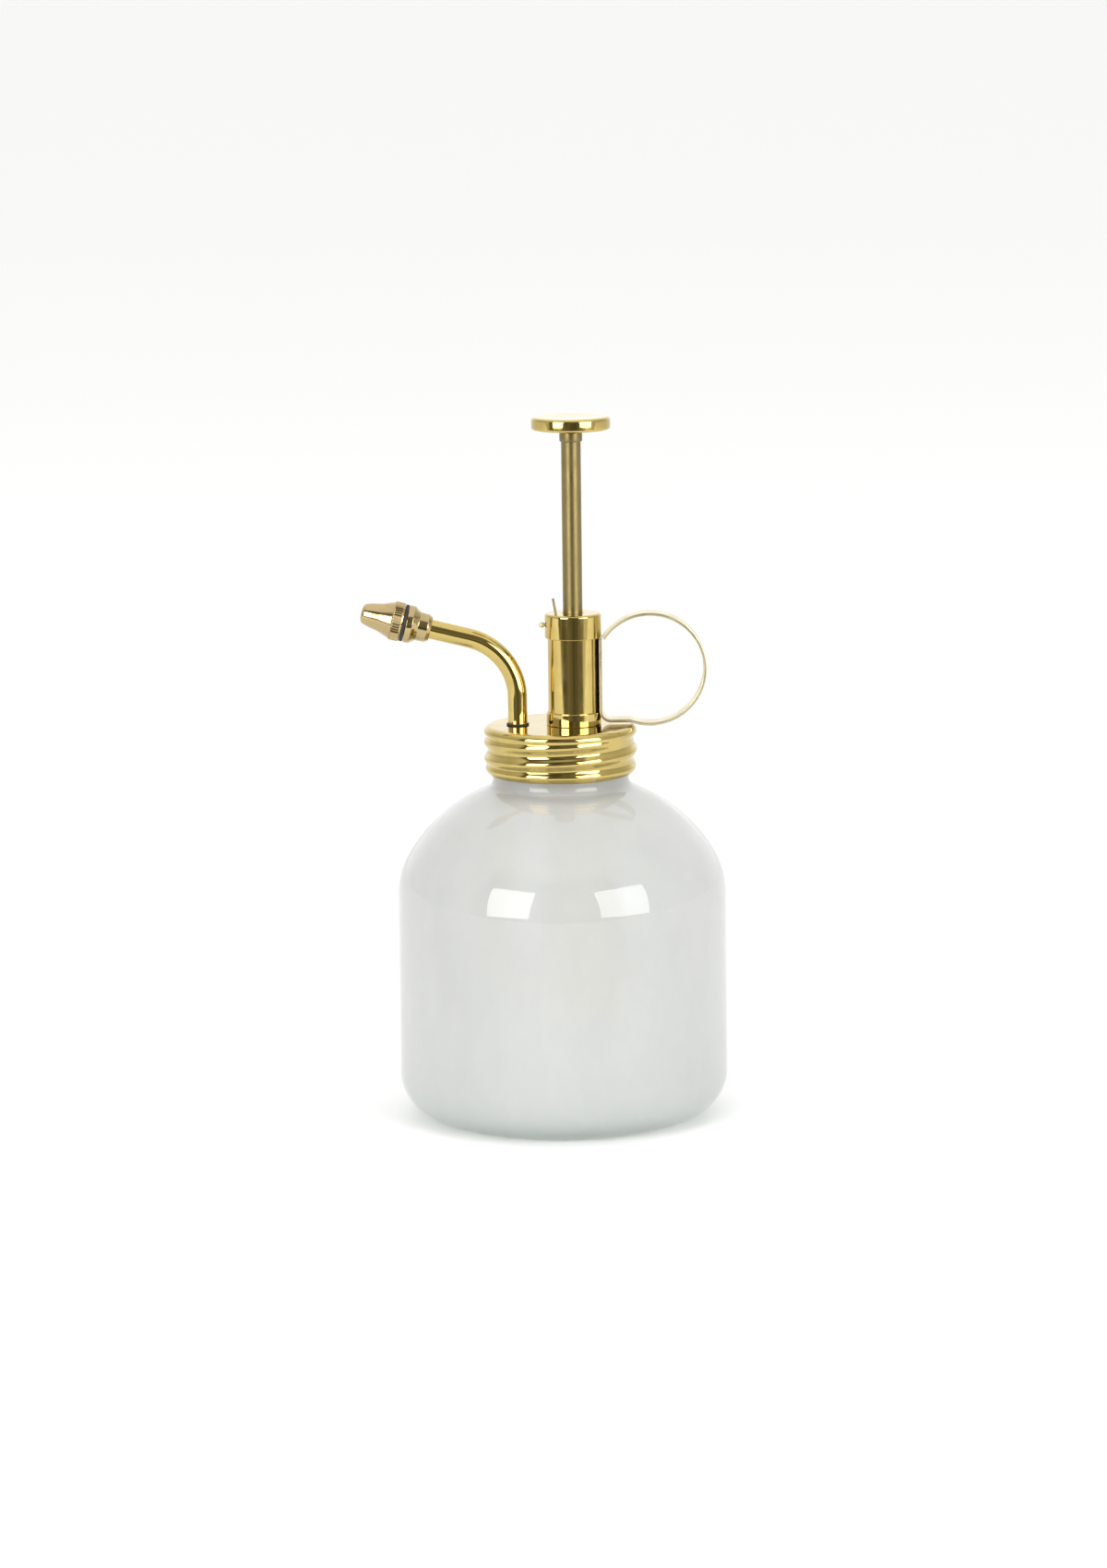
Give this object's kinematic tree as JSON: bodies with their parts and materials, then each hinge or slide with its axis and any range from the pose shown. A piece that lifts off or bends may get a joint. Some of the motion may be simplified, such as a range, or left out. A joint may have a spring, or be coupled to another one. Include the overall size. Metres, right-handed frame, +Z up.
{
  "type": "hand mister",
  "caption": "Glass bottle with a domed shoulder and a screw-on brass piston pump: thumb knob, barrel, bent spout with a conical nozzle, and a finger loop.",
  "frame": {"origin": "centre of the bottle's base, on the surface it stands on", "axes": "+Z up along the bottle's axis, +X towards the finger loop, -X towards the nozzle"},
  "size_m": [0.0875, 0.0796, 0.1694],
  "materials": {
    "glass": "translucent white, gloss",
    "brass": "polished",
    "pale_brass": "satin",
    "black_rubber": "matte",
    "nylon": "matte",
    "dip_plastic": "satin",
    "steel": "bright",
    "wire": "dull"
  },
  "bodies": {
    "bottle": {"bottle": "glass"},
    "gasket": {"cap_gasket": "black_rubber"},
    "head": {"screw_cap": "brass", "barrel": "brass", "barrel_base_ring": "brass", "barrel_locknut": "brass", "barrel_cap": "brass", "rod_guide_washer": "nylon", "lock_wire": "wire", "return_spring": "steel", "spring_seat": "steel", "valve_block": "brass", "ball_stop_pin": "steel", "dip_tube": "dip_plastic", "outlet_tube": "brass", "tube_union": "brass", "outlet_valve_seat": "nylon", "outlet_spring": "steel", "outlet_spring_stop": "nylon", "spout_washer": "black_rubber", "spout_tube": "brass", "nozzle_body": "brass", "swirl_core": "brass", "finger_loop": "pale_brass"},
    "spring_washer": {"spring_washer": "steel"},
    "plunger": {"plunger_rod": "brass", "rod_ferrule": "brass", "thumb_knob": "brass", "piston_head": "brass", "piston_cup": "black_rubber", "piston_nut": "brass"},
    "inlet_ball": {"inlet_ball": "steel"},
    "outlet_ball": {"outlet_ball": "steel"},
    "nozzle_washer": {"nozzle_washer": "black_rubber"},
    "nozzle_cap": {"nozzle_cap": "brass"}
  },
  "joints": [
    {"name": "cap_lift", "type": "slide", "parent": "bottle", "child": "gasket", "axis": [0, 0, 1], "range_m": [0, 0.004]},
    {"name": "cap_unscrew", "type": "hinge", "parent": "gasket", "child": "head", "pos_m": [0, 0, 0.0895], "axis": [0, 0, 1], "range_deg": [0, 360]},
    {"name": "plunger_slide", "type": "slide", "parent": "head", "child": "spring_washer", "axis": [0, 0, -1], "range_m": [0, 0.04], "stiffness_N_per_m": 150, "springref_m": -0.03, "deforming": ["return_spring"]},
    {"name": "plunger_turn", "type": "hinge", "parent": "spring_washer", "child": "plunger", "pos_m": [0.0033, 0, 0.14], "axis": [0, 0, 1], "continuous": true},
    {"name": "inlet_ball_lift", "type": "slide", "parent": "head", "child": "inlet_ball", "axis": [0, 0, 1], "range_m": [0, 0.001]},
    {"name": "outlet_ball_lift", "type": "slide", "parent": "head", "child": "outlet_ball", "axis": [0, 0, 1], "range_m": [0, 0.0008], "stiffness_N_per_m": 60, "springref_m": -0.001, "deforming": ["outlet_spring"]},
    {"name": "nozzle_advance", "type": "slide", "parent": "head", "child": "nozzle_washer", "axis": [-0.9703, 0, 0.2419], "range_m": [0, 0.00075]},
    {"name": "nozzle_turn", "type": "hinge", "parent": "nozzle_washer", "child": "nozzle_cap", "pos_m": [-0.04738, 0, 0.12279], "axis": [-0.9703, 0, 0.2419], "range_deg": [0, 360]}
  ],
  "couplings": [
    {"joint": "cap_unscrew", "follows": "cap_lift", "rad_per_m": 1570.8},
    {"joint": "nozzle_turn", "follows": "nozzle_advance", "rad_per_m": 8377.6}
  ]
}
